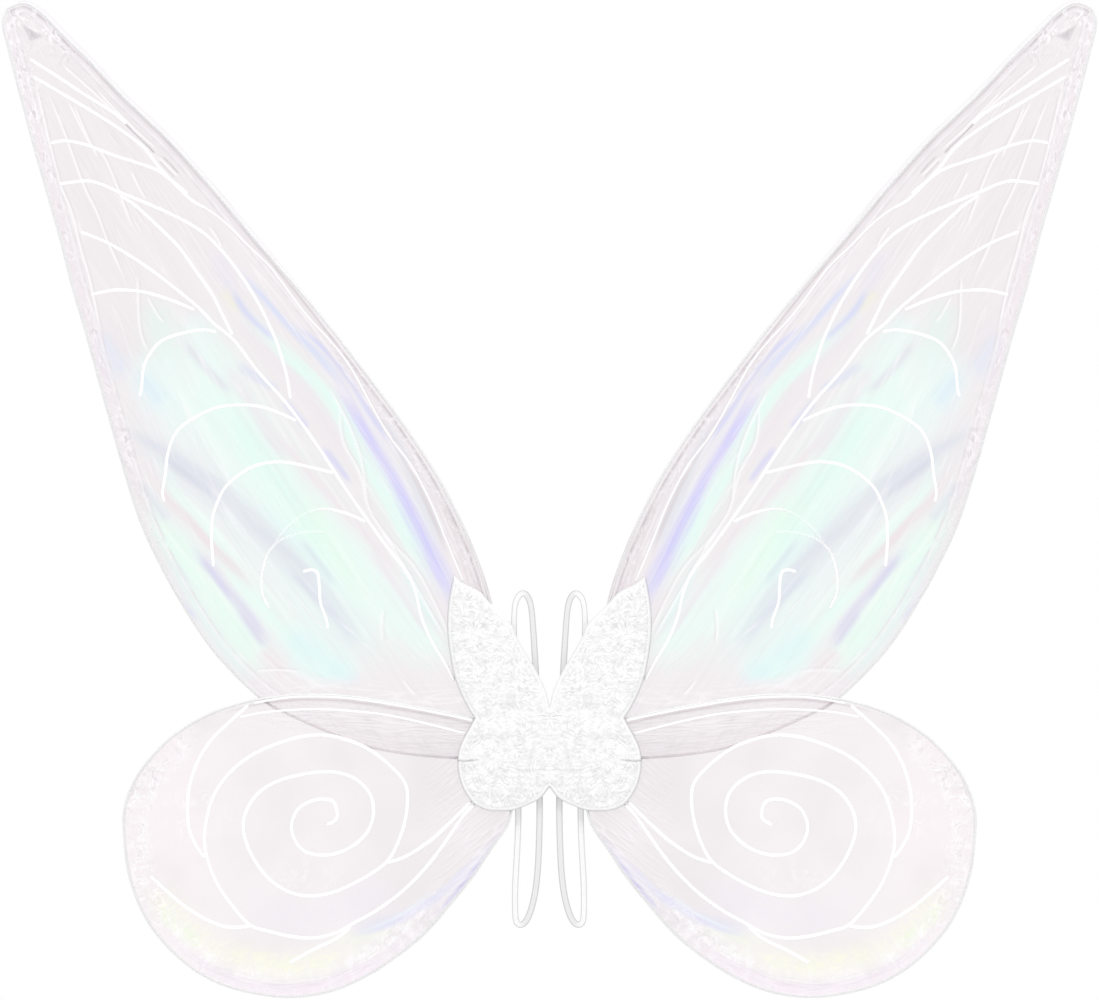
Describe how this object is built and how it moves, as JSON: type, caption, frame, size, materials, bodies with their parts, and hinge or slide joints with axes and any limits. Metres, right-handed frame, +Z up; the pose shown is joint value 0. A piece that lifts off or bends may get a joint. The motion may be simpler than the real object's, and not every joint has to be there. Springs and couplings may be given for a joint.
{
  "type": "costume fairy wings",
  "caption": "Wearable fairy wings: wire-framed iridescent film wings with raised vein lines on a folding padded fabric centre, worn with elastic shoulder loops.",
  "frame": {"origin": "middle of the rear face of the centre strip, which lies against the wearer's back between the two fold lines", "axes": "+Z up as worn, +Y towards the wearer, +X to the right when the wings are seen from outside; the wings lie in the XZ plane"},
  "size_m": [0.8536, 0.0122, 0.7768],
  "materials": {
    "film": "clear iridescent film, pale pink-grey with mint and lavender streaks, crumpled",
    "veins": "raised white print, satin",
    "wire": "white-coated steel wire",
    "cover_fabric": "white crinkled foil fabric with a fine random grain",
    "wadding": "white polyester wadding",
    "board": "grey-brown stiff board",
    "tape": "white cloth tape",
    "thread": "white sewing thread",
    "elastic": "flat white ribbed elastic"
  },
  "bodies": {
    "centre": {"centre_rear_fabric": "cover_fabric", "centre_front_fabric": "cover_fabric", "centre_hinge_tape": "tape"},
    "left_half": {"left_upper_frame": "wire", "left_upper_film": "film", "left_upper_veins": "veins", "left_lower_frame": "wire", "left_lower_film": "film", "left_lower_veins": "veins", "left_stiffener": "board", "left_upper_binding": "tape", "left_lower_binding": "tape", "left_leg_tape": "tape", "left_wadding": "wadding", "left_rear_cover": "cover_fabric", "left_front_cover": "cover_fabric", "left_edge_stitching": "thread"},
    "right_half": {"right_upper_frame": "wire", "right_upper_film": "film", "right_upper_veins": "veins", "right_lower_frame": "wire", "right_lower_film": "film", "right_lower_veins": "veins", "right_stiffener": "board", "right_upper_binding": "tape", "right_lower_binding": "tape", "right_leg_tape": "tape", "right_wadding": "wadding", "right_rear_cover": "cover_fabric", "right_front_cover": "cover_fabric", "right_edge_stitching": "thread"},
    "left_loop": {"left_strap": "elastic", "left_strap_tacks": "thread"},
    "right_loop": {"right_strap": "elastic", "right_strap_tacks": "thread"}
  },
  "joints": [
    {"name": "left_fold", "type": "hinge", "parent": "centre", "child": "left_half", "pos_m": [-0.005, -0.005, 0], "axis": [0, 0, 1], "range_deg": [-10, 80]},
    {"name": "right_fold", "type": "hinge", "parent": "centre", "child": "right_half", "pos_m": [0.005, -0.005, 0], "axis": [0, 0, -1], "range_deg": [-10, 80]},
    {"name": "left_loop_open", "type": "hinge", "parent": "left_half", "child": "left_loop", "pos_m": [-0.0046, 0.0011, -0.0398], "axis": [0.0324, 0, -0.9995], "range_deg": [0, 70]},
    {"name": "right_loop_open", "type": "hinge", "parent": "right_half", "child": "right_loop", "pos_m": [0.0046, 0.0011, -0.0398], "axis": [0.0324, 0, 0.9995], "range_deg": [0, 70]}
  ]
}
